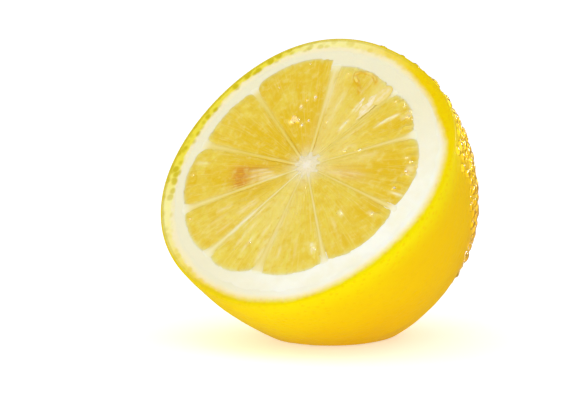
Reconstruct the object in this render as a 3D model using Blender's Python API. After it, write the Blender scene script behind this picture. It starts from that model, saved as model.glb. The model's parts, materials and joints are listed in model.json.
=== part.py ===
"""Half a lemon, cut across its middle and standing on a small flat trimmed off its rind.

Metres, +Z up. The origin is the middle of the resting flat, and the cut face looks
along -Y and up. The fruit grew as one piece, so it is one closed solid.
"""

import math

import bmesh
import bpy
from mathutils import Matrix

# Driving dimensions, in metres and degrees
EQUATOR_RADIUS = 0.030  # half the lemon's mean thickness, at the cut
HALF_LENGTH = 0.0433  # from the cut face to the end of the shoulders, along the lemon's axis
SHOULDER_FULLNESS = 2.06  # 2 makes the long outline an ellipse, more makes it blunter
NIPPLE_RISE = 0.0036  # how far the blunt nipple stands out past the shoulders
NIPPLE_RADIUS = 0.0058  # where the nipple has fallen to about a third of its rise
TIP_DRIFT_ACROSS = -0.0025  # how far the tip grew off the straight axis, towards -X
TIP_DRIFT_UP = -0.0015  # and the same up the slope of the cut face
RIM_ROUNDING = 0.0005  # radius of the peel's edge at the cut
ZEST_THICKNESS = 0.0021  # the yellow outer skin, seen on the cut
PITH_THICKNESS = 0.0038  # the white layer between the zest and the segments
CUT_TILT = 37.2  # how far the cut face leans back from upright
RESTING_TRIM = 0.0029  # depth of the slice taken off the rind to make the resting flat

# Slow waves round the section: crests, height as a share of the radius, angle of a crest
SECTION_WAVES = ((2, 0.013, 0.0), (3, 0.012, -5.0), (4, 0.012, 17.5))

STEPS_ROUND = 96
STEPS_ALONG = 27
STEPS_ON_RIM = 3

PLANE_REACH = 1e-5  # a vertex this near the trimming plane counts as on it
WELD_REACH = 1e-6
CREASE_ANGLE = 40.0

# Base colour (linear), roughness
FINISHES = {
    "zest": ((0.90, 0.60, 0.010), 0.35),
    "pith": ((0.88, 0.84, 0.68), 0.75),
    "pulp": ((0.82, 0.60, 0.060), 0.30),
}


def clear_scene():
    for obj in list(bpy.data.objects):
        bpy.data.objects.remove(obj, do_unlink=True)


def make_material(name, colour, roughness):
    material = bpy.data.materials.new(name)
    material.use_nodes = True
    shader = material.node_tree.nodes["Principled BSDF"]
    shader.inputs["Base Color"].default_value = (*colour, 1.0)
    shader.inputs["Roughness"].default_value = roughness
    shader.inputs["Metallic"].default_value = 0.0
    material.diffuse_color = (*colour, 1.0)
    return material


def body_radius(depth):
    """Radius of the body at a depth behind the cut: a superellipse that ends at HALF_LENGTH."""
    share = min(depth / HALF_LENGTH, 1.0)
    return EQUATOR_RADIUS * (1.0 - share**SHOULDER_FULLNESS) ** (1.0 / SHOULDER_FULLNESS)


def nipple_rise(radius):
    """Extra depth near the axis, a bell that fades out on the shoulders."""
    return NIPPLE_RISE * math.exp(-((radius / NIPPLE_RADIUS) ** 2))


def turned_profile():
    """(radius, depth) from the edge of the pulp on the cut face, round the rim and on to the tip."""
    pith_edge = EQUATOR_RADIUS - ZEST_THICKNESS
    points = [(pith_edge - PITH_THICKNESS, 0.0), (pith_edge, 0.0)]
    for step in range(STEPS_ON_RIM):
        turn = 0.5 * math.pi * step / STEPS_ON_RIM
        radius = EQUATOR_RADIUS - RIM_ROUNDING * (1.0 - math.sin(turn))
        points.append((radius, RIM_ROUNDING * (1.0 - math.cos(turn))))
    first = math.asin(RIM_ROUNDING / HALF_LENGTH)
    for step in range(STEPS_ALONG):
        angle = first + (0.5 * math.pi - first) * step / STEPS_ALONG
        depth = HALF_LENGTH * math.sin(angle)
        radius = body_radius(depth)
        points.append((radius, depth + nipple_rise(radius)))
    points.append((0.0, HALF_LENGTH + NIPPLE_RISE))
    return points


def section_wave(angle):
    """Share by which the section's radius differs from round at this angle."""
    return sum(
        height * math.cos(crests * (angle - math.radians(crest)))
        for crests, height, crest in SECTION_WAVES
    )


def spin_half_lemon(bm):
    """Spins the profile about Z, body below and cut face up, and closes the pulp's disc."""
    line = [bm.verts.new((radius, 0.0, -depth)) for radius, depth in turned_profile()]
    edges = [bm.edges.new(pair) for pair in zip(line, line[1:])]
    bmesh.ops.spin(
        bm,
        geom=line + edges,
        axis=(0.0, 0.0, 1.0),
        cent=(0.0, 0.0, 0.0),
        angle=2.0 * math.pi,
        steps=STEPS_ROUND,
    )
    bmesh.ops.remove_doubles(bm, verts=bm.verts, dist=WELD_REACH)
    bmesh.ops.edgeloop_fill(bm, edges=[edge for edge in bm.edges if edge.is_boundary])


def grow_unevenly(bm):
    """Waves the section and lets the body drift off its straight axis towards the tip."""
    for vert in bm.verts:
        swell = 1.0 + section_wave(math.atan2(vert.co.y, vert.co.x))
        drift = min(-vert.co.z / HALF_LENGTH, 1.0) ** 2
        vert.co.x = vert.co.x * swell + TIP_DRIFT_ACROSS * drift
        vert.co.y = vert.co.y * swell + TIP_DRIFT_UP * drift


def paint_cut_face(bm, slots):
    """Zest all over, with the pith's ring and the pulp's disc on the flat cut face."""
    pith_reach = EQUATOR_RADIUS - ZEST_THICKNESS
    for face in bm.faces:
        flat = all(abs(vert.co.z) < WELD_REACH for vert in face.verts)
        if flat and len(face.verts) == STEPS_ROUND:
            face.material_index = slots["pulp"]
        elif flat and face.calc_center_median().length < pith_reach:
            face.material_index = slots["pith"]
        else:
            face.material_index = slots["zest"]


def trim_resting_flat(bm, slots):
    """Slices the lowest rind off level, closes the slice with a flat face and centres it."""
    lowest = min(vert.co.z for vert in bm.verts)
    level = Matrix.Translation((0.0, 0.0, -lowest - RESTING_TRIM))
    bmesh.ops.transform(bm, matrix=level, verts=bm.verts)
    bmesh.ops.bisect_plane(
        bm,
        geom=bm.verts[:] + bm.edges[:] + bm.faces[:],
        dist=PLANE_REACH,
        plane_co=(0.0, 0.0, 0.0),
        plane_no=(0.0, 0.0, 1.0),
        clear_inner=True,
    )
    rim = [edge for edge in bm.edges if edge.is_boundary]
    for edge in rim:
        for vert in edge.verts:
            vert.co.z = 0.0
    flats = bmesh.ops.edgeloop_fill(bm, edges=rim)["faces"]
    for face in flats:
        face.material_index = slots["pith"]
    resting = max(flats, key=lambda face: face.calc_area())
    centre = resting.calc_center_median_weighted()
    bmesh.ops.transform(bm, matrix=Matrix.Translation(-centre), verts=bm.verts)


def make_lemon_half():
    mesh = bpy.data.meshes.new("lemon_half")
    slots = {}
    for index, (name, (colour, roughness)) in enumerate(FINISHES.items()):
        mesh.materials.append(make_material(name, colour, roughness))
        slots[name] = index
    bm = bmesh.new()
    spin_half_lemon(bm)
    paint_cut_face(bm, slots)
    grow_unevenly(bm)
    lean = Matrix.Rotation(math.radians(90.0 - CUT_TILT), 4, "X")
    bmesh.ops.transform(bm, matrix=lean, verts=bm.verts)
    trim_resting_flat(bm, slots)
    bmesh.ops.recalc_face_normals(bm, faces=bm.faces)
    bm.to_mesh(mesh)
    bm.free()
    mesh.shade_smooth()
    mesh.set_sharp_from_angle(angle=math.radians(CREASE_ANGLE))
    lemon_half = bpy.data.objects.new("lemon_half", mesh)
    bpy.context.scene.collection.objects.link(lemon_half)
    return lemon_half


clear_scene()
make_lemon_half()
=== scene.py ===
import itertools
import json
import math

import bpy
import numpy as np
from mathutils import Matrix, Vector


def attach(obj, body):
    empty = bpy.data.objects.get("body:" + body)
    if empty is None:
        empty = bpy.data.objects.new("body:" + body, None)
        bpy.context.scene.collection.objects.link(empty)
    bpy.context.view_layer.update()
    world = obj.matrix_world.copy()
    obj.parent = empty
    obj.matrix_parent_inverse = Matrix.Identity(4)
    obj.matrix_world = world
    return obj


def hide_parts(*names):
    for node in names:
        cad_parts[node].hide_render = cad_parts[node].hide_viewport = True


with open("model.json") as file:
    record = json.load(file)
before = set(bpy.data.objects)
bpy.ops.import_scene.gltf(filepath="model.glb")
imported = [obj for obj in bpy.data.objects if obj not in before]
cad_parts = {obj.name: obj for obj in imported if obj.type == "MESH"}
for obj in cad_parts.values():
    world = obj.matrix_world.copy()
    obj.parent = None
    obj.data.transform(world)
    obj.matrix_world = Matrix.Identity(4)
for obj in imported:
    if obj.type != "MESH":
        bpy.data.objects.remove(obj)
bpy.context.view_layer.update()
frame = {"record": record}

# The cut face gives every other place: its middle, and the way it looks
cutMount = next(mount for mount in frame["record"]["mounts"] if mount["name"] == "cut_face")
cutCentre = np.array(cutMount["pos_m"])
outOfCut = np.array(cutMount["axis"])
acrossCut = np.array([1.0, 0.0, 0.0])
upCut = np.cross(outOfCut, acrossCut)
millimetre = 0.001
print("frame loaded, cut face at", cutCentre)

# The fruit's own form, the same sizes as the solid's
fruit = {
    "radius": 0.030,
    "halfLength": 0.0433,
    "fullness": 2.06,
    "nippleRise": 0.0036,
    "nippleRadius": 0.0058,
    "tipDriftAcross": -0.0025,
    "tipDriftUp": -0.0015,
    "rimRounding": 0.0005,
    "waves": ((2, 0.013, 0.0), (3, 0.012, -5.0), (4, 0.012, 17.5)),  # crests, height, angle
    "coreAcross": 0.00033,  # the core lies a little off the middle
    "coreUp": 0.00073,
}

# Ten segments round the core. Angles in degrees, reaches in radii at both ends and the middle,
# corner radii in millimetres. Tone 0 is deep and warm, 1 is pale. Line is how pale the
# wall before it is, waist the share of that wall's full width it keeps away from the pith, and
# root how white it is where it meets the pith
segmentHeadings = ("from", "to", "reach", "corners", "tone", "line", "waist", "root")
segmentRows = [
    (24.0, 51.5, (0.738, 0.756, 0.722), (0.8, 0.8), 0.42, 0.5, 0.4, 0.9),
    (55.0, 92.0, (0.722, 0.752, 0.757), (1.0, 0.6), 0.52, 0.3, 0.55, 0.8),
    (96.8, 136.5, (0.812, 0.850, 0.832), (0.5, 1.8), 0.22, 0.45, 0.65, 0.6),
    (140.0, 169.8, (0.815, 0.830, 0.830), (1.2, 0.9), 0.24, 0.15, 0.35, 1.0),
    (174.8, 203.8, (0.832, 0.872, 0.862), (1.6, 0.6), 0.30, 0.25, 0.35, 0.75),
    (208.5, 232.8, (0.865, 0.868, 0.845), (0.6, 0.8), 0.40, 0.5, 0.4, 0.8),
    (237.8, 262.5, (0.838, 0.836, 0.772), (0.5, 0.8), 0.62, 0.8, 0.45, 0.7),
    (267.5, 298.5, (0.787, 0.793, 0.776), (0.5, 0.7), 0.55, 0.45, 0.6, 0.45),
    (301.3, 339.6, (0.765, 0.804, 0.775), (0.7, 0.9), 0.45, 0.6, 0.5, 0.7),
    (341.5, 379.5, (0.775, 0.798, 0.752), (0.6, 0.9), 0.35, 0.4, 0.6, 1.0),
]
segmentPlan = [dict(zip(segmentHeadings, row)) for row in segmentRows]


# Noise

def unit(field):
    # Keeps a field between 0 and 1
    return np.clip(field, 0.0, 1.0)


def bell(distance, width=1.0):
    # One at no distance, and about a third of that at the width
    return np.exp(-((distance / width) ** 2))


def latticeHash(cells, seed):
    # Mixes whole-number cell addresses into even numbers from 0 to 1
    mixed = np.full(cells.shape[:-1], seed * 7919 + 17, dtype=np.uint64)
    mask = np.uint64(0xFFFFFFFF)
    primes = (374761393, 668265263, 2246822519)
    for axis, prime in zip(range(cells.shape[-1]), primes):
        step = (cells[..., axis].astype(np.int64) & 0xFFFFFFFF).astype(np.uint64)
        mixed = (mixed + step * np.uint64(prime)) & mask
        mixed = ((mixed ^ (mixed >> np.uint64(13))) * np.uint64(1274126177)) & mask
    mixed = mixed ^ (mixed >> np.uint64(16))
    return (mixed & np.uint64(0xFFFFFF)).astype(float) / 0xFFFFFF


def smoothNoise(points, seed):
    # Corner values of the cell around each point, blended by 3t^2 - 2t^3 along every axis
    base = np.floor(points)
    share = points - base
    share = share * share * (3.0 - 2.0 * share)
    total = np.zeros(points.shape[:-1])
    for corner in itertools.product((0, 1), repeat=points.shape[-1]):
        weight = np.prod(np.where(np.array(corner) == 1, share, 1.0 - share), axis=-1)
        total += weight * latticeHash(base + np.array(corner), seed)
    return total * 2.0 - 1.0


def noiseOver(first, second, seed):
    # Smooth noise with two fields as its axes
    return smoothNoise(np.stack([first, second], -1), seed)


def roughNoise(points, seed, octaves=3):
    # Sum of smooth noises, each twice as fine and half as strong
    total = np.zeros(points.shape[:-1])
    for octave in range(octaves):
        total += smoothNoise(points * 2.0**octave, seed + 31 * octave) / 2.0**octave
    return total


def cellField(points, seed, jitter=0.8):
    # Distances to the nearest and second nearest scattered seed, and the nearest one's own number
    base = np.floor(points)
    nearest = np.full(points.shape[:-1], 9.0)
    second = np.full(points.shape[:-1], 9.0)
    tag = np.zeros(points.shape[:-1])
    for offset in itertools.product((-1, 0, 1), repeat=points.shape[-1]):
        cell = base + np.array(offset)
        spot = [latticeHash(cell, seed + 101 * axis) for axis in range(points.shape[-1])]
        middle = cell + 0.5 + jitter * (np.stack(spot, -1) - 0.5)
        gap = np.linalg.norm(points - middle, axis=-1)
        closer = gap < nearest
        second = np.where(closer, nearest, np.minimum(second, gap))
        tag = np.where(closer, spot[0], tag)
        nearest = np.where(closer, gap, nearest)
    return nearest, second, tag


# The segments' outlines

def angleApart(angle, degrees):
    # Signed turn from a direction given in degrees, in radians between -pi and pi
    return (angle - math.radians(degrees) + math.pi) % (2.0 * math.pi) - math.pi


def wallCentre(number):
    # The wall before a segment lies midway between it and the one before
    before = segmentPlan[number - 1]["to"] - (360.0 if number == 0 else 0.0)
    return 0.5 * (segmentPlan[number]["from"] + before)


def gapShare(number, reach):
    # A wall keeps to its waist and flares only where it meets the pith
    plan = segmentPlan[number]
    root = min(plan["reach"][0], segmentPlan[number - 1]["reach"][2])
    share = unit((reach / fruit["radius"] - root + 0.13) / 0.13)
    return plan["waist"] + (1.0 - plan["waist"]) * share**2


def segmentSides(number, reach):
    # Start and stop angles of a segment at a reach, in radians
    plan = segmentPlan[number]
    first = wallCentre(number)
    after = (number + 1) % len(segmentPlan)
    last = wallCentre(after) + (360.0 if after == 0 else 0.0)
    return (
        np.radians(first + (plan["from"] - first) * gapShare(number, reach)),
        np.radians(last + (plan["to"] - last) * gapShare(after, reach)),
    )


def outerReach(number, side):
    # A parabola through three reaches, its ends turned in by a quarter circle at each corner
    plan = segmentPlan[number]
    start, middle, stop = plan["reach"]
    reach = middle + 0.5 * (stop - start) * side + (0.5 * (start + stop) - middle) * side**2
    half = math.radians(plan["to"] - plan["from"]) * 0.5 * middle
    for way, corner in ((-1.0, plan["corners"][0]), (1.0, plan["corners"][1])):
        size = corner * millimetre / fruit["radius"]
        into = unit(1.0 - (1.0 - side * way) * half / size)
        reach = reach - size * (1.0 - np.sqrt(1.0 - into**2))
    return reach * fruit["radius"]


def insidePulp(angle, reach):
    # How far inside the nearest segment a point on the cut lies, in metres, or zero outside
    deepest = np.zeros_like(angle)
    for number in range(len(segmentPlan)):
        start, stop = segmentSides(number, reach)
        middle, half = 0.5 * (start + stop), 0.5 * (stop - start)
        turn = (angle - middle + math.pi) % (2.0 * math.pi) - math.pi
        side = np.clip(turn / half, -1.0, 1.0)
        toWall = (half - np.abs(turn)) * reach
        deepest = np.maximum(deepest, np.minimum(toWall, outerReach(number, side) - reach))
    return deepest


# Mesh helpers

def onCut(across, up, out):
    # A point given across the cut, up its slope and out of it, in the part's own frame
    return (
        cutCentre
        + across[..., None] * acrossCut
        + up[..., None] * upCut
        + out[..., None] * outOfCut
    )


def wayOf(azimuth, elevation):
    # The direction of an azimuth and an elevation given in degrees, azimuth 0 being the front
    azimuth, elevation = math.radians(azimuth), math.radians(elevation)
    return np.array([
        math.sin(azimuth) * math.cos(elevation),
        -math.cos(azimuth) * math.cos(elevation),
        math.sin(elevation),
    ])


def loft(name, sections, looped=False, values=None, flow=None):
    # Closed rings of points, one per row, joined row to row. Ends close on a middle point, or loop
    rows, columns = sections.shape[:2]
    points = sections.reshape(-1, 3)
    values = {key: field.reshape(-1) for key, field in (values or {}).items()}
    index = np.arange(rows * columns).reshape(rows, columns)
    beside = np.roll(index, -1, axis=1)
    if looped:
        above, aboveBeside = np.roll(index, -1, axis=0), np.roll(beside, -1, axis=0)
        quads = np.stack([index, beside, aboveBeside, above], -1).reshape(-1, 4)
        triangles = np.zeros((0, 3), dtype=int)
    else:
        quads = np.stack([index[:-1], beside[:-1], beside[1:], index[1:]], -1).reshape(-1, 4)
        first, last = rows * columns, rows * columns + 1
        points = np.vstack([points, sections[0].mean(0), sections[-1].mean(0)])
        start = np.stack([beside[0], index[0], np.full(columns, first)], -1)
        finish = np.stack([index[-1], beside[-1], np.full(columns, last)], -1)
        triangles = np.vstack([start, finish])
        for key, field in values.items():
            ends = [field[index[0]].mean(), field[index[-1]].mean()]
            values[key] = np.concatenate([field, ends])
    halves = np.vstack([quads[:, :3], quads[:, [0, 2, 3]], triangles])
    corners = points[halves]
    volume = np.einsum("ij,ij->i", corners[:, 0], np.cross(corners[:, 1], corners[:, 2])).sum()
    if volume < 0.0:
        quads, triangles = quads[:, ::-1], triangles[:, ::-1]
    mesh = bpy.data.meshes.new(name)
    mesh.vertices.add(len(points))
    mesh.vertices.foreach_set("co", points.astype(np.float32).ravel())
    loops = np.concatenate([quads.ravel(), triangles.ravel()])
    starts = np.concatenate([
        np.arange(len(quads)) * 4,
        len(quads) * 4 + np.arange(len(triangles)) * 3,
    ])
    mesh.loops.add(len(loops))
    mesh.loops.foreach_set("vertex_index", loops.astype(np.int32))
    mesh.polygons.add(len(starts))
    mesh.polygons.foreach_set("loop_start", starts.astype(np.int32))
    mesh.update(calc_edges=True)
    mesh.shade_smooth()
    mesh.set_sharp_from_angle(angle=math.radians(60.0))
    for key, field in values.items():
        layer = mesh.attributes.new(key, "FLOAT", "POINT")
        layer.data.foreach_set("value", field.astype(np.float32))
    if flow is not None:
        flow = flow.reshape(-1, 2)
        flow = np.vstack([flow, flow[index[0]].mean(0), flow[index[-1]].mean(0)])
        layer = mesh.uv_layers.new(name="flow")
        layer.data.foreach_set("uv", flow[loops].astype(np.float32).ravel())
    piece = bpy.data.objects.new(name, mesh)
    bpy.context.scene.collection.objects.link(piece)
    return piece


def joinPieces(name, pieces):
    # Makes several finished meshes one piece
    with bpy.context.temp_override(
        active_object=pieces[0], selected_editable_objects=pieces, selected_objects=pieces
    ):
        bpy.ops.object.join()
    pieces[0].name = name
    pieces[0].data.name = name
    return pieces[0]


def fitOut(piece, material):
    piece.data.materials.append(material)
    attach(piece, "root")
    return piece


# Shader helpers

def addNode(tree, kind, **settings):
    made = tree.nodes.new(kind)
    for key, value in settings.items():
        setattr(made, key, value)
    return made


def setInputs(made, **values):
    for key, value in values.items():
        made.inputs[key].default_value = value
    return made


def newMaterial(name, colour, roughness, **values):
    material = bpy.data.materials.new(name)
    material.use_nodes = True
    shader = material.node_tree.nodes["Principled BSDF"]
    shader.inputs["Base Color"].default_value = (*colour, 1.0)
    setInputs(shader, Roughness=roughness, **values)
    material.diffuse_color = (*colour, 1.0)
    return material, material.node_tree, shader


def newGroup(name, inputs, outputs):
    group = bpy.data.node_groups.new(name, "ShaderNodeTree")
    for label, kind, value in inputs:
        socket = group.interface.new_socket(label, in_out="INPUT", socket_type=kind)
        if value is not None:
            socket.default_value = value
    for label, kind in outputs:
        group.interface.new_socket(label, in_out="OUTPUT", socket_type=kind)
    return group, group.nodes.new("NodeGroupInput"), group.nodes.new("NodeGroupOutput")


def useGroup(tree, group, **values):
    return setInputs(addNode(tree, "ShaderNodeGroup", node_tree=group), **values)


def blotches(tree, **values):
    return useGroup(tree, mottle, **values).outputs["Mask"]


def feed(tree, socket, value):
    # Links a socket to another, or sets it to a colour or a number
    if isinstance(value, bpy.types.NodeSocket):
        tree.links.new(value, socket)
    elif isinstance(value, tuple):
        socket.default_value = (*value, 1.0)
    else:
        socket.default_value = value


def mixColour(tree, factor, first, second):
    # First and second are colours or sockets, and factor is a socket or a number
    made = addNode(tree, "ShaderNodeMix", data_type="RGBA")
    for place, value in ((0, factor), (6, first), (7, second)):
        feed(tree, made.inputs[place], value)
    return made.outputs[2]


def readValue(tree, name):
    return addNode(tree, "ShaderNodeAttribute", attribute_name=name).outputs["Fac"]


def reckon(tree, operation, first, second=0.0, clamp=False):
    made = addNode(tree, "ShaderNodeMath", operation=operation, use_clamp=clamp)
    feed(tree, made.inputs[0], first)
    feed(tree, made.inputs[1], second)
    return made.outputs[0]


def scaled(tree, value, share, clamp=False):
    return reckon(tree, "MULTIPLY", value, share, clamp)


def mapTo(tree, value, low, high, lowest=0.0, highest=1.0):
    # Smooth step from one range to another
    made = addNode(tree, "ShaderNodeMapRange", interpolation_type="SMOOTHSTEP")
    setInputs(made, **{"From Min": low, "From Max": high, "To Min": lowest, "To Max": highest})
    tree.links.new(value, made.inputs["Value"])
    return made.outputs["Result"]


def noiseOfSize(group, given):
    # Noise on object coordinates, with blotches of the given size in metres
    place = addNode(group, "ShaderNodeTexCoord")
    noise = addNode(group, "ShaderNodeTexNoise")
    feed(group, noise.inputs["Vector"], place.outputs["Object"])
    feed(group, noise.inputs["Scale"], reckon(group, "DIVIDE", 1.0, given.outputs["Size"]))
    feed(group, noise.inputs["Detail"], given.outputs["Detail"])
    return noise.outputs["Fac"]


def cellDistance(tree, scale):
    # Distance to the middle of the nearest of many scattered cells
    place = addNode(tree, "ShaderNodeTexCoord")
    cells = addNode(tree, "ShaderNodeTexVoronoi", feature="F1")
    cells.inputs["Scale"].default_value = scale
    tree.links.new(place.outputs["Object"], cells.inputs["Vector"])
    return cells.outputs["Distance"]


def mottleGroup():
    # Soft blotches of a given size in metres, as a mask from 0 to 1
    group, given, result = newGroup(
        "mottle",
        [("Size", "NodeSocketFloat", 0.006), ("Low", "NodeSocketFloat", 0.35),
         ("High", "NodeSocketFloat", 0.65), ("Detail", "NodeSocketFloat", 3.0)],
        [("Mask", "NodeSocketFloat")],
    )
    remap = addNode(group, "ShaderNodeMapRange", interpolation_type="SMOOTHSTEP")
    group.links.new(noiseOfSize(group, given), remap.inputs["Value"])
    group.links.new(given.outputs["Low"], remap.inputs["From Min"])
    group.links.new(given.outputs["High"], remap.inputs["From Max"])
    group.links.new(remap.outputs["Result"], result.inputs["Mask"])
    return group


def grainGroup():
    # Fine uneven relief of a given size and depth in metres, as a bent normal
    group, given, result = newGroup(
        "grain",
        [("Size", "NodeSocketFloat", 0.001), ("Depth", "NodeSocketFloat", 0.00005),
         ("Detail", "NodeSocketFloat", 3.0), ("Normal", "NodeSocketVector", None)],
        [("Normal", "NodeSocketVector"), ("Height", "NodeSocketFloat")],
    )
    height = noiseOfSize(group, given)
    bump = addNode(group, "ShaderNodeBump")
    group.links.new(height, bump.inputs["Height"])
    group.links.new(given.outputs["Depth"], bump.inputs["Distance"])
    group.links.new(given.outputs["Normal"], bump.inputs["Normal"])
    group.links.new(bump.outputs["Normal"], result.inputs["Normal"])
    group.links.new(height, result.inputs["Height"])
    return group


mottle = mottleGroup()
grain = grainGroup()


# The rind

zest = {
    "around": 456,
    "bandRows": 14,
    "rimRows": 5,
    "bodyRows": 194,
    "bandInner": 0.880,  # share of the radius where the pith's ring takes over
    "bedDepth": 0.0016,
    "pitSpacing": 0.00135,
    "pitDepth": 0.00009,
    "lumpSize": 0.009,
    "lumpHeight": 0.00010,
    "furrows": 9,
    "furrowHeight": 0.00014,
    "wrinkleReach": 0.007,  # how far from the axis the nipple's furrows fade out
    "scarReach": 0.0013,
    "scarDepth": 0.0007,
    "cutGlandSpacing": 0.0013,
    "cutGlandDip": 0.00010,
    "underPith": 0.00006,  # how far the band sinks to go under the pith
    "dotScale": 900.0,  # glands in the skin's colour, per metre
    "cutGlandScale": 620.0,
    "paintedDeepShadeWay": 118.0,  # azimuth of the side painted in the deepest shade
    "paintedBrightAt": -30.0,  # where the rind by the cut is painted the brightest yellow, as painted light on its lit side
    "paintedLightAt": 332.0,  # side of the cut painted as lit, in degrees round it; the far side is painted in shade
    "lift": 0.00002,  # keeps the resting flat just clear of the floor
}


# Where the zest turns to pith on the cut: angle in degrees, share of the radius
zestBorder = [
    (0, 0.948), (15, 0.940), (30, 0.905), (50, 0.918), (65, 0.930), (90, 0.922), (115, 0.930),
    (150, 0.927), (180, 0.912), (200, 0.908), (220, 0.936), (240, 0.950), (270, 0.955), (320, 0.955),
    (360, 0.948),
]


def sectionSwell(angle):
    # One plus the slow waves round the section
    total = np.ones_like(angle)
    for crests, height, crest in fruit["waves"]:
        total += height * np.cos(crests * (angle - math.radians(crest)))
    return total


def rindForm(angle, radius, depth):
    # The turned profile, waved round its section and drifting off its axis towards the tip
    swell = sectionSwell(angle)
    drift = np.minimum(depth / fruit["halfLength"], 1.0) ** 2
    across = radius * swell * np.cos(angle) + fruit["tipDriftAcross"] * drift
    up = radius * swell * np.sin(angle) + fruit["tipDriftUp"] * drift
    return onCut(across, up, -depth)


def bodyProfile(turn):
    # Superellipse from the cut to the shoulders' end, with a bell added for the nipple
    depth = fruit["halfLength"] * np.sin(turn)
    share = unit(depth / fruit["halfLength"])
    radius = fruit["radius"] * (1.0 - share ** fruit["fullness"]) ** (1.0 / fruit["fullness"])
    nipple = fruit["nippleRise"] * np.exp(-((radius / fruit["nippleRadius"]) ** 2))
    return radius, depth + nipple


def gridNormals(points):
    # Cross product of the steps along the rows and round the rings
    along = np.gradient(points, axis=0)
    around = np.roll(points, -1, axis=1) - np.roll(points, 1, axis=1)
    normal = np.cross(around, along)
    return normal / np.maximum(np.linalg.norm(normal, axis=-1, keepdims=True), 1e-12)


def makeZest():
    rimEdge = fruit["radius"] - fruit["rimRounding"]
    bandStart = fruit["radius"] * zest["bandInner"]
    band = np.linspace(bandStart, rimEdge, zest["bandRows"])
    turn = np.linspace(0.0, 0.5 * math.pi, zest["rimRows"] + 1)[1:]
    rimRadius = rimEdge + fruit["rimRounding"] * np.sin(turn)
    rimDepth = fruit["rimRounding"] * (1.0 - np.cos(turn))
    first = math.asin(fruit["rimRounding"] / fruit["halfLength"])
    turn = np.linspace(first, 0.5 * math.pi, zest["bodyRows"] + 2)[1:-1]
    bodyRadius, bodyDepth = bodyProfile(turn)
    radius = np.concatenate([[bandStart * 0.5, bandStart], band, rimRadius, bodyRadius])
    depth = np.concatenate([[zest["bedDepth"]] * 2, np.zeros(len(band)), rimDepth, bodyDepth])
    angle = np.linspace(0.0, 2.0 * math.pi, zest["around"], endpoint=False)
    angle, radiusGrid = np.meshgrid(angle, radius)
    depthGrid = np.broadcast_to(depth[:, None], angle.shape)
    form = rindForm(angle, radiusGrid, depthGrid)

    # Relief: slow lumps, and a pit over each oil gland, fading out on the cut band
    normal = gridNormals(form)
    outward = np.sign((normal * (form - form.mean((0, 1)))).sum(-1).mean())
    onBody = unit((depthGrid - fruit["rimRounding"]) / (2.0 * millimetre))
    nearest, tag = cellField(form / zest["pitSpacing"], 5)[::2]
    pits = bell(nearest, 0.34)
    lumps = roughNoise(form / zest["lumpSize"], 11, 3)
    wrinkle = bell(radiusGrid, zest["wrinkleReach"])
    furrows = wrinkle * np.cos(angle * zest["furrows"] + 2.0 * roughNoise(form / 0.004, 3, 2))
    scar = bell(radiusGrid, zest["scarReach"])
    relief = zest["lumpHeight"] * lumps - zest["pitDepth"] * pits * (0.6 + 0.8 * tag)
    relief = relief + zest["furrowHeight"] * furrows - zest["scarDepth"] * scar
    form = form + normal * outward * (relief * onBody * (depthGrid > 0.0))[..., None]

    # The band on the cut dips a little to go under the pith, and over each cut gland
    share = radiusGrid / fruit["radius"]
    onBand = (depthGrid < 1e-9) * 1.0
    under = unit((0.915 - share) / 0.035) * zest["underPith"]
    dip = bell(cellField(form / zest["cutGlandSpacing"], 23)[0], 0.36) * (share > 0.93)
    form = form - outOfCut * (onBand * (under + zest["cutGlandDip"] * dip))[..., None]

    # Painted shade: the skin is coloured deeper orange on the side that looks right and back
    azimuth = math.radians(zest["paintedDeepShadeWay"])
    shadeWay = np.array([math.sin(azimuth), -math.cos(azimuth), -0.35])

    # The resting flat slices the lowest rind off level
    below = np.maximum(-form[..., 2], 0.0)
    form[..., 2] = np.maximum(form[..., 2], zest["lift"])
    # Nearness to the floor, which adds painted shade towards the bottom
    low = unit(1.0 - form[..., 2] / (12.0 * millimetre))
    border = np.interp(np.degrees(angle), *np.array(zestBorder).T)
    waver = 0.006 * noiseOver(angle * 5.0, share, 29)
    past = (share - border + waver) * fruit["radius"] / millimetre
    values = {
        "past": np.where(depthGrid < fruit["rimRounding"], past, 3.0),
        "rimShare": unit((share - 0.984) / 0.02) * onBand + (depthGrid > 0.0),
        # The warm and deep orange masks below are painted shade: away from the light, and towards the
        # bottom
        "warm": unit(form @ shadeWay / (24.0 * millimetre) + 0.30 + 0.6 * low),
        "paintedDeepShade": unit((form @ shadeWay - 0.017) / 0.007),
        "paintedBright": np.exp(-((angleApart(angle, zest["paintedBrightAt"])) ** 2) - (depthGrid / 0.0034) ** 2),
        "paintedRimShade": bell(depthGrid - 0.0003, 0.0010) * (share > 0.975),
        "sunny": 0.5 + 0.5 * np.cos(angleApart(angle, zest["paintedLightAt"])),
        "flatDepth": below / millimetre,
        "bed": (np.abs(depthGrid - zest["bedDepth"]) < 1e-9) * (radiusGrid <= bandStart) * 1.0,
        "scar": scar,
    }
    return loft("zest", form, values=values)


zestColours = {
    "skin": (0.88, 0.62, 0.0),
    "skinPale": (0.88, 0.665, 0.0),
    "warm": (0.83, 0.51, 0.0),
    "paintedDeepShade": (0.80, 0.38, 0.0),
    "paintedBright": (0.88, 0.74, 0.0),
    "glands": (0.84, 0.50, 0.0),
    "scar": (0.30, 0.16, 0.03),
    "bandYellow": (0.86, 0.74, 0.06),
    "bandPale": (0.93, 0.86, 0.36),
    "cutGlands": (0.60, 0.47, 0.0),
    "paintedRimShade": (0.62, 0.50, 0.02),
    "peach": (0.95, 0.83, 0.50),
    "slicedFlat": (0.93, 0.89, 0.70),
    "bed": (0.84, 0.66, 0.16),
}

# The pith's colours, on its own ring and on the zest's inner edge; its shade and light are painted shade
# and painted light
pithColours = {"shade": (0.88, 0.83, 0.58), "light": (0.98, 0.965, 0.83), "warm": (0.91, 0.85, 0.60)}


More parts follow.
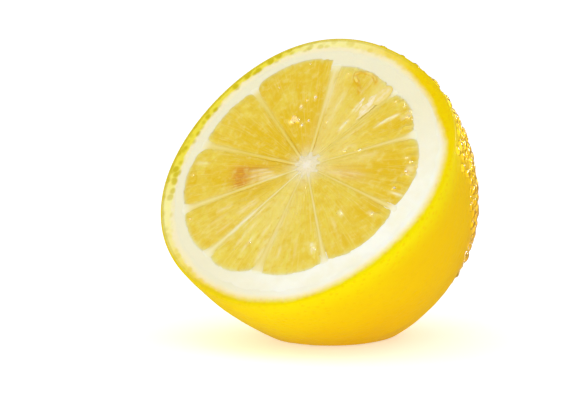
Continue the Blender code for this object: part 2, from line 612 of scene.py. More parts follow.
def zestMaterial():
    material, tree, shader = newMaterial(
        "zestSkin", (0.90, 0.64, 0.001), 0.36,
        **{"Subsurface Weight": 0.20, "Subsurface Scale": 0.0012, "IOR": 1.30, "Specular IOR Level": 0.06,
           "Subsurface Radius": (1.0, 0.7, 0.05)},
    )
    blotch = blotches(tree, Size=0.012, Low=0.38, High=0.66)
    skin = mixColour(tree, blotch, zestColours["skin"], zestColours["skinPale"])
    # Painted shade: warmer, then deep orange, on the side away from the light and towards the bottom
    skin = mixColour(tree, readValue(tree, "warm"), skin, zestColours["warm"])
    skin = mixColour(tree, scaled(tree, readValue(tree, "paintedDeepShade"), 0.75), skin, zestColours["paintedDeepShade"])
    # Painted light: brighter yellow on the rind by the cut, on the side the light falls on
    skin = mixColour(tree, readValue(tree, "paintedBright"), skin, zestColours["paintedBright"])
    # Oil glands: slightly deeper dots, a little closer together than the modelled pits
    dotMask = mapTo(tree, cellDistance(tree, zest["dotScale"]), 0.12, 0.45, 1.0, 0.0)
    skin = mixColour(tree, scaled(tree, dotMask, 0.35), skin, zestColours["glands"])
    scarMix = scaled(tree, readValue(tree, "scar"), 0.85, clamp=True)
    skin = mixColour(tree, scarMix, skin, zestColours["scar"])

    # On the cut the zest is a band of cut glands, olive where cut through, blurring into the pith
    past = readValue(tree, "past")
    glands = cellDistance(tree, zest["cutGlandScale"])
    ragged = scaled(tree, reckon(tree, "SUBTRACT", 0.42, glands), 0.8)
    soft = reckon(tree, "ADD", past, ragged)
    hard = mapTo(tree, soft, -0.45, 0.40)
    blurred = mapTo(tree, reckon(tree, "ADD", past, scaled(tree, ragged, 0.4)), -0.95, 0.80)
    # Sunny is 1 on the side of the cut painted as lit and 0 opposite; the band's colour, its border and
    # its gland dots change with it too
    sunny = readValue(tree, "sunny")
    border = addNode(tree, "ShaderNodeMix", data_type="FLOAT")
    tree.links.new(mapTo(tree, sunny, 0.2, 0.7), border.inputs[0])
    tree.links.new(hard, border.inputs[2])
    tree.links.new(blurred, border.inputs[3])
    border = border.outputs[0]
    onTop = mapTo(tree, sunny, 0.04, 0.18)
    plain = mixColour(tree, onTop, zestColours["bandYellow"], zestColours["bandPale"])
    glandCore = mapTo(tree, glands, 0.28, 0.64, 0.85, 0.0)
    glandCore = scaled(tree, glandCore, mapTo(tree, sunny, 0.06, 0.20, 1.0, 0.4))
    band = mixColour(tree, glandCore, plain, zestColours["cutGlands"])
    band = mixColour(tree, mapTo(tree, sunny, 0.15, 0.60), band, skin)
    band = mixColour(tree, readValue(tree, "rimShare"), band, skin)
    # Painted shade: a darker line along the rim's edge, strongest on the side away from the light
    shaded = scaled(tree, readValue(tree, "paintedRimShade"), reckon(tree, "SUBTRACT", 0.85, sunny), clamp=True)
    band = mixColour(tree, shaded, band, zestColours["paintedRimShade"])
    spongy = blotches(tree, Size=0.004, Low=0.35, High=0.7)
    # Painted light and shade: the pith's inner edge is lighter on the side the light falls on and darker
    # opposite
    inner = mixColour(tree, mapTo(tree, sunny, 0.55, 1.0), pithColours["shade"], pithColours["light"])
    inner = mixColour(tree, scaled(tree, spongy, 0.5), inner, pithColours["warm"])
    peach = scaled(tree, mapTo(tree, past, -1.4, -0.3), 0.7)
    inner = mixColour(tree, peach, inner, zestColours["peach"])
    colour = mixColour(tree, border, inner, band)

    # The trimmed flat shows pale skin, then pith, the deeper it was sliced
    sliced = mapTo(tree, readValue(tree, "flatDepth"), 0.15, 1.9)
    colour = mixColour(tree, sliced, colour, zestColours["slicedFlat"])
    colour = mixColour(tree, readValue(tree, "bed"), colour, zestColours["bed"])
    tree.links.new(colour, shader.inputs["Base Color"])

    rough = blotches(tree, Size=0.004, Low=0.3, High=0.7)
    spread = mapTo(tree, rough, 0.0, 1.0, 0.30, 0.42)
    tree.links.new(spread, shader.inputs["Roughness"])
    fine = useGroup(tree, grain, Size=0.0007, Depth=0.00002)
    pitBump = addNode(tree, "ShaderNodeBump", invert=True)
    setInputs(pitBump, Distance=0.00005, Strength=0.6)
    tree.links.new(dotMask, pitBump.inputs["Height"])
    tree.links.new(fine.outputs["Normal"], pitBump.inputs["Normal"])
    tree.links.new(pitBump.outputs["Normal"], shader.inputs["Normal"])
    return material


zestSkin = makeZest()
fitOut(zestSkin, zestMaterial())
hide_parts("lemon_half")
print("zest made:", len(zestSkin.data.polygons), "faces")


# The pith

pith = {
    "around": 900,
    "rows": 70,
    "inner": 0.60,
    "outer": 0.915,  # runs a little over the zest's band
    "thickness": 0.0012,
    "level": -0.00003,
    "sink": 0.0009,  # how deep it lies under the pulp
    "sponge": 0.000035,
    "spongeSize": 0.0016,
    # side of the ring painted as lit, in degrees round it
    "paintedLightAt": 318.0,
}


def makePith():
    # A spongy ring from the zest inward, level between the segments and sunk beneath them
    angle = np.linspace(0.0, 2.0 * math.pi, pith["around"], endpoint=False)
    share = np.linspace(pith["outer"], pith["inner"], pith["rows"])
    angle, shareGrid = np.meshgrid(angle, share)
    radius = fruit["radius"] * shareGrid * sectionSwell(angle)
    across, up = radius * np.cos(angle), radius * np.sin(angle)
    aside, above = across - fruit["coreAcross"], up - fruit["coreUp"]
    inside = insidePulp(np.arctan2(above, aside), np.hypot(aside, above))
    cover = unit((inside - 0.0002) / 0.0010)
    underWalls = unit((0.70 - shareGrid) / 0.06)
    cover = np.maximum(cover, underWalls)
    sponge = roughNoise(np.stack([across, up], -1) / pith["spongeSize"], 41, 4)
    settle = unit((pith["outer"] - shareGrid) / 0.03)
    out = pith["level"] + pith["sponge"] * sponge * settle - pith["sink"] * cover**2 * (3.0 - 2.0 * cover)
    out -= 0.00005 * (1.0 - settle)
    top = onCut(across, up, out)
    # The flat underside needs only its two edges
    edges = [-1, 0]
    under = onCut(across[edges], up[edges], np.full_like(out[edges], -pith["thickness"]))
    values = {"sunny": 0.5 + 0.5 * np.cos(angleApart(np.vstack([angle, angle[edges]]), pith["paintedLightAt"]))}
    return loft("pith_ring", np.concatenate([top, under]), looped=True, values=values)


def pithMaterial(name, shade, light, warm):
    material, tree, shader = newMaterial(
        name, light, 0.62,
        **{"Subsurface Weight": 0.20, "Subsurface Scale": 0.0004, "Specular IOR Level": 0.2,
           "Subsurface Radius": (1.0, 0.8, 0.4)},
    )
    blotch = blotches(tree, Size=0.004, Low=0.35, High=0.7)
    # Painted light and shade round the pith's ring, lighter where sunny is high; on the core the same mix
    # makes it whiter towards its middle
    colour = mixColour(tree, mapTo(tree, readValue(tree, "sunny"), 0.55, 1.0), shade, light)
    colour = mixColour(tree, scaled(tree, blotch, 0.5), colour, warm)
    tree.links.new(colour, shader.inputs["Base Color"])
    sponge = useGroup(tree, grain, Size=0.0006, Depth=0.00006, Detail=5.0)
    tree.links.new(sponge.outputs["Normal"], shader.inputs["Normal"])
    return material


pithWhite = pithMaterial("pithWhite", **pithColours)
fitOut(makePith(), pithWhite)
print("pith made")


# The juice segments

pulp = {
    "across": 84,
    "along": 120,
    "underside": 6,
    "inner": 0.060,
    "edgeLevel": -0.00006,  # height of the pulp's edge against the cut
    "rise": 0.00024,
    "riseLength": 0.00100,
    "thickness": 0.0020,
    "sacWidth": 0.100,  # radians
    "sacStretch": 0.13,  # cells get shorter towards the peel
    "sacHeight": 0.00009,
    "roundSacs": 0.00125,  # spacing of the rounder sacs that show near the peel
    "streakAndGlintHeight": 0.00010,
    "stainDepth": 0.00025,
    "hollowDepth": 0.00025,
    "curlHeight": 0.00038,
    "curlReach": 0.00042,
    "proudHeight": 0.00040,
}

# Hollows, sunk into the pulp and painted deeper and warmer as painted shade: angle in degrees, distance
# and half length and half width in radii, strength
hollows = [
    (31.0, 0.62, 0.16, 0.07, 0.8), (76.0, 0.62, 0.10, 0.09, 0.8), (101.0, 0.45, 0.32, 0.05, 0.8),
    (118.0, 0.30, 0.20, 0.10, 0.6), (155.0, 0.28, 0.18, 0.12, 0.8), (182.0, 0.28, 0.20, 0.05, 1.0),
    (196.0, 0.55, 0.14, 0.09, 1.0), (213.0, 0.36, 0.16, 0.05, 0.8), (305.0, 0.70, 0.12, 0.10, 0.4),
    (325.0, 0.70, 0.14, 0.14, 0.5), (350.0, 0.66, 0.14, 0.16, 0.9), (4.0, 0.60, 0.16, 0.08, 0.5),
]

# Pale veils where torn membrane lies on the pulp, in the same terms
veils = [
    (89.0, 0.45, 0.30, 0.060, 0.8), (70.0, 0.30, 0.18, 0.14, 0.5), (59.0, 0.60, 0.18, 0.060, 1.0),
    (60.0, 0.72, 0.05, 0.080, 0.9), (40.0, 0.26, 0.14, 0.10, 0.5), (12.0, 0.36, 0.16, 0.05, 0.6),
    (194.0, 0.33, 0.10, 0.050, 1.0), (204.0, 0.40, 0.26, 0.030, 0.6), (225.0, 0.62, 0.20, 0.10, 0.4),
    (248.0, 0.36, 0.22, 0.12, 0.5), (270.0, 0.45, 0.30, 0.08, 0.5), (353.0, 0.33, 0.14, 0.050, 0.7),
    (352.0, 0.18, 0.06, 0.040, 0.8),
]

# Seed pockets: angle in degrees, distance in radii, half length and half width in radii, strength
stains = [
    (191.0, 0.475, 0.065, 0.060, 1.0), (200.0, 0.465, 0.060, 0.045, 0.8), (185.5, 0.40, 0.12, 0.022, 0.7),
    (197.0, 0.36, 0.09, 0.060, 0.35), (353.0, 0.33, 0.13, 0.055, 0.40),
]

# Pale streaks, some of them painted glints: angle in degrees, from and to in radii, half width in radii,
# strength
streakAndGlints = [
    (35.0, 0.66, 0.75, 0.016, 0.8), (38.3, 0.48, 0.69, 0.012, 1.3), (47.0, 0.25, 0.50, 0.012, 0.5),
    (30.0, 0.22, 0.36, 0.016, 0.5), (62.5, 0.28, 0.41, 0.012, 1.4), (66.0, 0.44, 0.54, 0.016, 0.8),
    (70.0, 0.56, 0.74, 0.010, 0.5), (82.0, 0.30, 0.60, 0.020, 0.5), (93.0, 0.35, 0.76, 0.024, 0.5),
    (103.5, 0.49, 0.55, 0.010, 0.6), (115.0, 0.45, 0.50, 0.010, 0.7), (183.0, 0.70, 0.84, 0.016, 0.4),
    (189.5, 0.26, 0.42, 0.010, 0.9), (195.0, 0.22, 0.44, 0.010, 1.0), (201.0, 0.20, 0.40, 0.012, 0.9),
    (205.0, 0.14, 0.34, 0.010, 0.7), (217.0, 0.52, 0.66, 0.012, 0.5), (222.0, 0.58, 0.76, 0.010, 0.4),
    (226.5, 0.36, 0.54, 0.014, 0.8), (229.0, 0.58, 0.72, 0.008, 0.5), (235.3, 0.40, 0.66, 0.014, 1.3),
    (240.0, 0.30, 0.60, 0.010, 0.5), (245.0, 0.44, 0.72, 0.016, 0.5), (251.5, 0.54, 0.70, 0.012, 0.6),
    (257.0, 0.40, 0.62, 0.012, 0.5), (262.0, 0.50, 0.74, 0.014, 0.6), (267.0, 0.26, 0.70, 0.012, 0.4),
    (273.5, 0.58, 0.70, 0.010, 0.5), (284.0, 0.50, 0.72, 0.012, 0.3), (295.3, 0.59, 0.69, 0.014, 1.2),
    (311.0, 0.46, 0.62, 0.012, 0.4), (319.5, 0.46, 0.53, 0.014, 1.0), (332.5, 0.62, 0.70, 0.012, 0.6),
    (347.5, 0.67, 0.79, 0.010, 1.2), (350.0, 0.16, 0.34, 0.012, 0.7), (355.0, 0.20, 0.46, 0.010, 0.6),
    (2.0, 0.70, 0.78, 0.030, 0.7), (8.0, 0.68, 0.74, 0.012, 0.6), (14.0, 0.34, 0.50, 0.012, 0.5),
]


# Sacs standing proud at the peel, in the same terms as the hollows
proudSacs = [
    (27.5, 0.685, 0.030, 0.016, 1.0), (32.0, 0.712, 0.024, 0.014, 0.9), (36.5, 0.722, 0.022, 0.012, 0.9),
    (44.0, 0.715, 0.024, 0.016, 0.8), (352.5, 0.700, 0.040, 0.013, 1.0),
    (357.5, 0.735, 0.034, 0.012, 1.0), (3.0, 0.758, 0.028, 0.014, 0.9), (9.0, 0.735, 0.028, 0.014, 0.7),
    (14.0, 0.715, 0.026, 0.014, 0.6), (334.0, 0.720, 0.026, 0.014, 0.7), (86.0, 0.690, 0.030, 0.016, 0.6),
    (147.0, 0.760, 0.026, 0.020, 0.5), (187.0, 0.780, 0.026, 0.020, 0.5),
]

# A torn sac's rim curls up round a hollow, with painted shade on its flanks and a painted highlight on
# its crest: degrees and radii along it
curlPath = [
    (66.0, 0.660), (66.5, 0.700), (69.0, 0.722), (72.0, 0.732), (75.5, 0.732), (79.0, 0.722),
    (81.0, 0.700), (80.0, 0.675), (77.5, 0.652), (75.0, 0.628), (72.5, 0.600), (70.5, 0.570),
]


def fromCore(angle, reach, out):
    # A point at an angle and distance round the core, and a height out of the cut
    across = fruit["coreAcross"] + reach * np.cos(angle)
    up = fruit["coreUp"] + reach * np.sin(angle)
    return onCut(across, up, out)


def softSpots(spots, angle, reach):
    # Soft ovals lying along the radius, each given by its middle and its half lengths
    total = np.zeros_like(angle)
    for toward, at, length, width, strength in spots:
        along = (reach / fruit["radius"] - at) / length
        aside = angleApart(angle, toward) * reach / fruit["radius"] / width
        total += strength * np.exp(-(along**2 + aside**2))
    return unit(total)


def nearCurl(angle, reach):
    # A bell of the distance to the nearest point of the curl, lumpy along it and faded at its ends
    knots = np.linspace(0.0, 1.0, len(curlPath))
    share = np.linspace(0.0, 1.0, 70)
    turn, away = np.array(curlPath).T
    turn = np.radians(np.interp(share, knots, turn))
    away = fruit["radius"] * np.interp(share, knots, away)
    gapX = (reach * np.cos(angle))[..., None] - away * np.cos(turn)
    gapY = (reach * np.sin(angle))[..., None] - away * np.sin(turn)
    lumps = 0.75 + 0.35 * smoothNoise(share[:, None] * 17.0, 47)
    lumps = lumps * unit(6.0 * share * (1.0 - share) + 0.3)
    return (np.exp(-(gapX**2 + gapY**2) / pulp["curlReach"] ** 2) * lumps).max(-1)


def streakAndGlintField(angle, reach):
    # Thin pale lines, partly pale fibres and partly painted glints, that fade in and out along the
    # radius, broken up by fine noise
    total = np.zeros_like(angle)
    wander = 0.012 * noiseOver(angle * 9.0, reach / 0.004, 71)
    share = reach / fruit["radius"]
    for toward, start, stop, width, strength in streakAndGlints:
        middle, half = 0.5 * (start + stop), 0.5 * (stop - start)
        along = unit(1.0 - ((share - middle) / half) ** 2)
        aside = (angleApart(angle, toward) + wander) * share / width
        total += strength * along * bell(aside)
    broken = 0.75 + 0.5 * noiseOver(angle * 60.0, reach / 0.0015, 73)
    return unit(total * broken)


def makeSegment(number):
    # Rows run from the core to the peel. Each is a domed, sac-covered top closed by a flat underside
    plan = segmentPlan[number]
    side = np.sin(np.linspace(-0.5, 0.5, pulp["across"]) * math.pi * 0.96) / math.sin(0.48 * math.pi)
    along = np.linspace(0.0, 1.0, pulp["along"])
    side, along = np.meshgrid(side, along)
    outer = outerReach(number, side)
    inner = fruit["radius"] * pulp["inner"]
    reach = inner + (outer - inner) * along
    start, stop = segmentSides(number, reach)
    middle, half = 0.5 * (start + stop), 0.5 * (stop - start)
    angle = middle + side * half
    toWall = (1.0 - np.abs(side)) * half * reach
    toPeel = outer - reach
    toEdge = np.minimum(toWall, toPeel)

    # Juice sacs: cells stretched along the radius, a little warped, domed between their walls
    warp = noiseOver(angle * 5.0, np.log(reach / 0.01) * 4.0, 51)
    bend = noiseOver(angle * 4.0, np.log(reach / 0.01) * 3.0, 53)
    sacSpace = np.stack(
        [
            angle / pulp["sacWidth"] + 0.8 * warp,
            (reach / fruit["radius"]) ** 2 / pulp["sacStretch"] + 0.6 * bend,
        ],
        -1,
    )
    nearest, second, tag = cellField(sacSpace, 60 + number, 0.95)
    sacWall = np.exp(-(second - nearest) / 0.10)
    sacDome = 1.0 - np.exp(-(second - nearest) * 2.5)
    fine = roughNoise(np.stack([angle * 26.0, np.log(reach / 0.01) * 6.0], -1), 90, 3)
    slow = noiseOver(angle * 6.0, reach / 0.004, 97)

    streakAndGlint = streakAndGlintField(angle, reach)
    strands = noiseOver(angle * 85.0, reach / 0.005, 109)
    stain = softSpots(stains, angle, reach) * unit(0.80 + 0.55 * strands)
    hollow = softSpots(hollows, angle, reach)
    veil = softSpots(veils, angle, reach)
    out = pulp["edgeLevel"] + pulp["rise"] * (1.0 - np.exp(-toEdge / pulp["riseLength"]))
    out += pulp["sacHeight"] * sacDome * (0.4 + 1.0 * tag) + 0.000025 * fine
    out += pulp["streakAndGlintHeight"] * streakAndGlint - pulp["stainDepth"] * stain - pulp["hollowDepth"] * hollow
    curl = nearCurl(angle, reach)
    proud = softSpots(proudSacs, angle, reach)
    out += pulp["curlHeight"] * curl + pulp["proudHeight"] * proud
    top = fromCore(angle, reach, out)
    blend = np.linspace(1.0, 0.0, pulp["underside"])
    angleBelow = angle[:, :1] + (angle[:, -1:] - angle[:, :1]) * blend
    reachBelow = np.minimum(reach[:, :1], reach[:, -1:]) + 0.0 * angleBelow
    below = fromCore(angleBelow, reachBelow, np.full_like(angleBelow, -pulp["thickness"]))
    sections = np.concatenate([top, below], axis=1)

    def padded(field):
        return np.concatenate([field, np.repeat(field[:, -1:], pulp["underside"], axis=1)], axis=1)

    flat = np.stack([reach * np.cos(angle), reach * np.sin(angle)], -1)
    flat += 0.0004 * np.stack([warp, bend], -1)
    toSac, roundTag = cellField(flat / pulp["roundSacs"], 103, 1.0)[::2]
    roundSac = bell(toSac, 0.42) * (roundTag - 0.3)
    threads = noiseOver(angle * 75.0, reach / 0.006 + 3.0 * warp, 107)
    nearPeel = unit((reach / fruit["radius"] - 0.45) / 0.25)
    tone = plan["tone"] + (0.22 + 0.20 * nearPeel) * (tag - 0.5) + 0.14 * fine + 0.14 * slow
    # Hollows are painted darker as painted shade; veils are paler
    tone += 0.45 * nearPeel * roundSac + 0.16 * (1.0 - nearPeel) * threads - 0.45 * hollow + 0.45 * veil
    # Painted shade: the curl darkens the pulp along its flanks
    tone += 0.5 * proud - 0.35 * curl
    values = {
        "tone": padded(unit(tone)),
        "sacWall": padded(sacWall),
        "streakAndGlint": padded(streakAndGlint),
        "stain": padded(stain),
        "veil": padded(veil),
        "edge": padded(np.exp(-toPeel / 0.00030) + 0.4 * np.exp(-toWall / 0.00025)),
        "wallFade": padded(unit((reach / fruit["radius"] - 0.25) / 0.45)),
        "curl": padded(curl),
        "coreGlow": padded(bell(reach / fruit["radius"] - 0.06, 0.075)),
    }
    flow = np.stack([padded(angle), padded(reach / fruit["radius"])], -1)
    return loft(f"segment_{number + 1:02d}", sections, values=values, flow=flow)


pulpColours = {
    "deep": (0.795, 0.525, 0.004),
    "pale": (0.86, 0.71, 0.11),
    "fibre": (0.93, 0.77, 0.26),
    "sacWall": (0.92, 0.78, 0.28),
    "streakAndGlint": (1.0, 0.93, 0.62),
    "veil": (0.88, 0.66, 0.25),
    "stain": (0.72, 0.29, 0.025),
    "coreGlow": (0.90, 0.78, 0.42),
    "paintedCurlShade": (0.76, 0.43, 0.003),
    "paintedCurlHighlight": (0.95, 0.74, 0.14),
    "edge": (0.93, 0.86, 0.52),
    "speck": (0.90, 0.76, 0.24),
    "amber": (0.78, 0.52, 0.008),
}


def pulpMaterial():
    material, tree, shader = newMaterial(
        "pulpWet", (0.82, 0.58, 0.04), 0.32,
        **{"Subsurface Weight": 0.30, "Subsurface Scale": 0.0004, "Coat Weight": 0.35,
           "Coat Roughness": 0.08, "Specular IOR Level": 0.20,
           "Subsurface Radius": (1.0, 0.8, 0.12)},
    )
    colour = mixColour(tree, readValue(tree, "tone"), pulpColours["deep"], pulpColours["pale"])
    # Fine fibres run along the radius
    flow = addNode(tree, "ShaderNodeUVMap", uv_map="flow")
    stretch = addNode(tree, "ShaderNodeMapping")
    stretch.inputs["Scale"].default_value = (46.0, 5.0, 1.0)
    fibres = addNode(tree, "ShaderNodeTexNoise")
    setInputs(fibres, Scale=1.0, Detail=4.0, Distortion=0.6)
    tree.links.new(flow.outputs["UV"], stretch.inputs["Vector"])
    tree.links.new(stretch.outputs["Vector"], fibres.inputs["Vector"])
    fibreMask = mapTo(tree, fibres.outputs["Fac"], 0.50, 0.78, 0.0, 0.45)
    colour = mixColour(tree, fibreMask, colour, pulpColours["fibre"])
    # The streak layer is partly pale fibres and partly painted glints
    layers = {"sacWall": 0.08, "streakAndGlint": 0.90, "veil": 0.45, "stain": 0.88, "coreGlow": 0.85}
    for name, strength in layers.items():
        colour = mixColour(tree, scaled(tree, readValue(tree, name), strength), colour, pulpColours[name])
    curl = readValue(tree, "curl")
    # Painted shade on the curl's flanks, then a painted highlight on its crest
    colour = mixColour(tree, mapTo(tree, curl, 0.08, 0.45, 0.0, 0.75), colour, pulpColours["paintedCurlShade"])
    colour = mixColour(tree, mapTo(tree, curl, 0.50, 0.90, 0.0, 0.85), colour, pulpColours["paintedCurlHighlight"])
    rimPale = scaled(tree, readValue(tree, "edge"), readValue(tree, "wallFade"), clamp=True)
    colour = mixColour(tree, rimPale, colour, pulpColours["edge"])
    ripple = useGroup(tree, grain, Size=0.0013, Depth=0.00010, Detail=4.0)
    speck = mapTo(tree, ripple.outputs["Height"], 0.50, 0.72, 0.0, 0.40)
    colour = mixColour(tree, speck, colour, pulpColours["speck"])
    amber = mapTo(tree, ripple.outputs["Height"], 0.30, 0.46, 0.45, 0.0)
    colour = mixColour(tree, amber, colour, pulpColours["amber"])
    tree.links.new(colour, shader.inputs["Base Color"])
    fibreBump = addNode(tree, "ShaderNodeBump")
    setInputs(fibreBump, Distance=0.00003, Strength=0.5)
    tree.links.new(fibres.outputs["Fac"], fibreBump.inputs["Height"])
    tree.links.new(ripple.outputs["Normal"], fibreBump.inputs["Normal"])
    tree.links.new(fibreBump.outputs["Normal"], shader.inputs["Normal"])
    return material


pulpWet = pulpMaterial()
for number in range(len(segmentPlan)):
    fitOut(makeSegment(number), pulpWet)
print("segments made:", len(segmentPlan))


# Membranes and core

wall = {
    "along": 110,
    "across": 13,
    "inner": 0.03,
    "overlap": 0.00022,  # how far it runs into the segments beside it
    "intoPith": 0.0006,
    "whiteRoot": 0.0012,
    "thickness": 0.0015,
}
core = {
    "around": 300,
    "rows": 34,
    "radius": 0.085,
    "spike": 0.040,  # how much further its arms reach
    "height": 0.00030,
    "thickness": 0.0014,
}


def makeWall(number):
    # A soft ridge filling the gap between two segments, from the core into the pith
    count = len(segmentPlan)
    root = fruit["radius"] * min(segmentPlan[number]["reach"][0], segmentPlan[number - 1]["reach"][2])
    reach = np.linspace(fruit["radius"] * wall["inner"], root + wall["intoPith"], wall["along"])
    side = np.linspace(-1.0, 1.0, wall["across"])
    side, reach = np.meshgrid(side, reach)
    first = segmentSides((number - 1) % count, reach)[1] - (2.0 * math.pi if number == 0 else 0.0)
    last = segmentSides(number, reach)[0]
    middle, half = 0.5 * (first + last), 0.5 * (last - first)
    offset = side * (half * reach + wall["overlap"])
    angle = middle + offset / reach
    uneven = noiseOver(reach / 0.0014, side * 1.3 + 9.0 * number, 19)
    out = 0.00006 * (1.0 - side**2) + 0.00003 * uneven
    out = out - 0.00010 * unit((reach - root) / wall["intoPith"])
    top = fromCore(angle, reach, out)
    below = fromCore(angle[:, ::-1], reach[:, ::-1], np.full_like(out, -wall["thickness"]))
    share = reach / fruit["radius"]
    pale = segmentPlan[number]["root"] * bell(np.maximum(root - reach, 0.0), wall["whiteRoot"])
    pale += np.exp(-(share - 0.05) / 0.04) + unit((reach - root) / 0.0004)
    pale = unit(pale)
    values = {
        "pale": pale,
        "streakAndGlint": streakAndGlintField(angle, reach),
        "wallFade": unit((share - 0.50) / 0.24),
        "line": segmentPlan[number]["line"] * bell(side, 0.6),
    }
    values = {key: np.concatenate([field, field], axis=1) for key, field in values.items()}
    return loft(f"membrane_{number + 1:02d}", np.concatenate([top, below], axis=1), values=values)


def makeCore():
    # A white star with an arm along each wall, rising in uneven fibres
    angle = np.linspace(0.0, 2.0 * math.pi, core["around"], endpoint=False)
    arms = sum(
        bell(angleApart(angle, wallCentre(number)), 0.13) for number in range(len(segmentPlan))
    )
    outline = core["radius"] * (1.0 + 0.18 * np.cos(angleApart(angle, 50.0)))
    outline = outline + core["spike"] * unit(arms)
    share = np.linspace(0.04, 1.0, core["rows"])
    angleGrid, shareGrid = np.meshgrid(angle, share)
    reach = fruit["radius"] * outline[None, :] * shareGrid
    flat = np.stack([reach * np.cos(angleGrid), reach * np.sin(angleGrid)], -1)
    ridges = roughNoise(flat / (0.55 * millimetre), 81, 3)
    fibres = noiseOver(angleGrid * 12.0, reach / 0.003, 83)
    out = core["height"] * (1.0 - shareGrid**2) + 0.00009 * ridges + 0.00006 * fibres * shareGrid
    out = out - 0.00022 * shareGrid**4
    top = fromCore(angleGrid, reach, out)
    under = fromCore(angleGrid, reach, np.full_like(out, -core["thickness"]))[::-1][:-1]
    near = bell(shareGrid, 0.55)
    values = {"sunny": np.concatenate([near, near[:-1]])}
    return loft("core", np.concatenate([top, under]), values=values)


membraneColours = {
    "wet": (0.80, 0.575, 0.030),
    "nearPeel": (0.85, 0.68, 0.16),
    "blotch": (0.86, 0.66, 0.16),
    "line": (0.92, 0.82, 0.42),
    "pale": (0.94, 0.90, 0.66),
    "streakAndGlint": (0.97, 0.89, 0.60),
}
coreColours = {"shade": (0.86, 0.77, 0.52), "light": (0.93, 0.88, 0.74), "warm": (0.84, 0.72, 0.42)}


def membraneMaterial():
    material, tree, shader = newMaterial(
        "membraneMoist", (0.90, 0.80, 0.42), 0.42,
        **{"Subsurface Weight": 0.3, "Subsurface Scale": 0.0003, "Coat Weight": 0.2,
           "Coat Roughness": 0.12, "Specular IOR Level": 0.25,
           "Subsurface Radius": (1.0, 0.8, 0.4)},
    )
    wallFade = readValue(tree, "wallFade")
    colour = mixColour(tree, wallFade, membraneColours["wet"], membraneColours["nearPeel"])
    blotch = blotches(tree, Size=0.0020, Low=0.4, High=0.7)
    faint = scaled(tree, blotch, 0.35)
    colour = mixColour(tree, faint, colour, membraneColours["blotch"])
    colour = mixColour(tree, readValue(tree, "line"), colour, membraneColours["line"])
    colour = mixColour(tree, readValue(tree, "pale"), colour, membraneColours["pale"])
    # Pale streaks and painted glints running onto the walls
    streakAndGlint = scaled(tree, readValue(tree, "streakAndGlint"), 0.85)
    colour = mixColour(tree, streakAndGlint, colour, membraneColours["streakAndGlint"])
    tree.links.new(colour, shader.inputs["Base Color"])
    ripple = useGroup(tree, grain, Size=0.0006, Depth=0.00005, Detail=4.0)
    tree.links.new(ripple.outputs["Normal"], shader.inputs["Normal"])
    return material


membraneMoist = membraneMaterial()
for number in range(len(segmentPlan)):
    fitOut(makeWall(number), membraneMoist)
coreWhite = pithMaterial("coreWhite", **coreColours)
fitOut(makeCore(), coreWhite)
print("membranes and core made")


# Torn membranes

flake = {"along": 44, "across": 24, "thickness": 0.00002, "crumple": 0.00005}

# Scraps left on the pulp: angle, distance, half length and half width in radii, turn in degrees,
# lift in millimetres, and how strongly it whitens
scraps = [
    (59.5, 0.555, 0.105, 0.038, 6.0, 0.23, 1.0),
    (57.5, 0.650, 0.085, 0.052, -10.0, 0.22, 0.45),
    (64.5, 0.520, 0.070, 0.018, 12.0, 0.24, 0.8),
    (56.0, 0.500, 0.080, 0.014, -4.0, 0.24, 0.7),
]


def makeScrap(number, scrap):
    # A leaf-shaped sheet with a ragged outline, crumpled by folded noise and thinning to nothing
    angle, at, length, width, turn, lift, cover = scrap
    along = np.linspace(-1.0, 1.0, flake["along"])
    across = np.linspace(-1.0, 1.0, flake["across"])
    acrossGrid, alongGrid = np.meshgrid(across, along)
    ragged = 1.0 + 0.25 * noiseOver(alongGrid * 4.0, np.sign(acrossGrid) + 7.0 * number, 33)
    breadth = width * np.sqrt(unit(1.02 - alongGrid**2)) * ragged
    forward = alongGrid * length
    aside = acrossGrid * breadth
    turn = math.radians(turn)
    middle = math.radians(angle)
    outward = at + forward * math.cos(turn) - aside * math.sin(turn)
    sideways = forward * math.sin(turn) + aside * math.cos(turn)
    across = outward * math.cos(middle) - sideways * math.sin(middle)
    across = fruit["coreAcross"] + fruit["radius"] * across
    up = outward * math.sin(middle) + sideways * math.cos(middle)
    up = fruit["coreUp"] + fruit["radius"] * up
    place = np.stack([across, up], -1)
    folds = smoothNoise(place / (1.1 * millimetre), 37 + number)
    folds += 0.15 * noiseOver(outward / 0.05, sideways / 0.012, 39 + number)
    hug = (1.0 - acrossGrid**2) * (1.0 - alongGrid**4)
    out = lift * millimetre * (0.45 + 0.55 * hug) + flake["crumple"] * folds * hug
    top = onCut(across, up, out)
    below = onCut(across[:, ::-1], up[:, ::-1], out[:, ::-1] - flake["thickness"])
    thin = unit((1.0 - acrossGrid**2) * (1.0 - alongGrid**2) * 1.6) * cover
    thin *= unit(0.75 + 0.5 * noiseOver(outward / 0.06, sideways / 0.010, 43 + number))
    return loft(
        f"scrap_{number}", np.concatenate([top, below], axis=1),
        values={"thin": np.concatenate([thin, thin[:, ::-1]], axis=1)},
    )


scrapColours = {"thin": (0.86, 0.67, 0.15), "whole": (1.0, 0.92, 0.80)}


def scrapMaterial():
    # Takes the pulp's colour where it thins out
    material, tree, shader = newMaterial(
        "membraneTorn", (1.0, 0.93, 0.80), 0.40, **{"Specular IOR Level": 0.2},
    )
    body = mapTo(tree, blotches(tree, Size=0.0010, Low=0.30, High=0.70), 0.0, 1.0, 0.95, 0.35)
    cover = scaled(tree, readValue(tree, "thin"), body, clamp=True)
    colour = mixColour(tree, cover, scrapColours["thin"], scrapColours["whole"])
    tree.links.new(colour, shader.inputs["Base Color"])
    return material


leaves = [makeScrap(number, scrap) for number, scrap in enumerate(scraps)]
fitOut(joinPieces("torn_membranes", leaves), scrapMaterial())
print("torn membranes made")


# Drops and beads

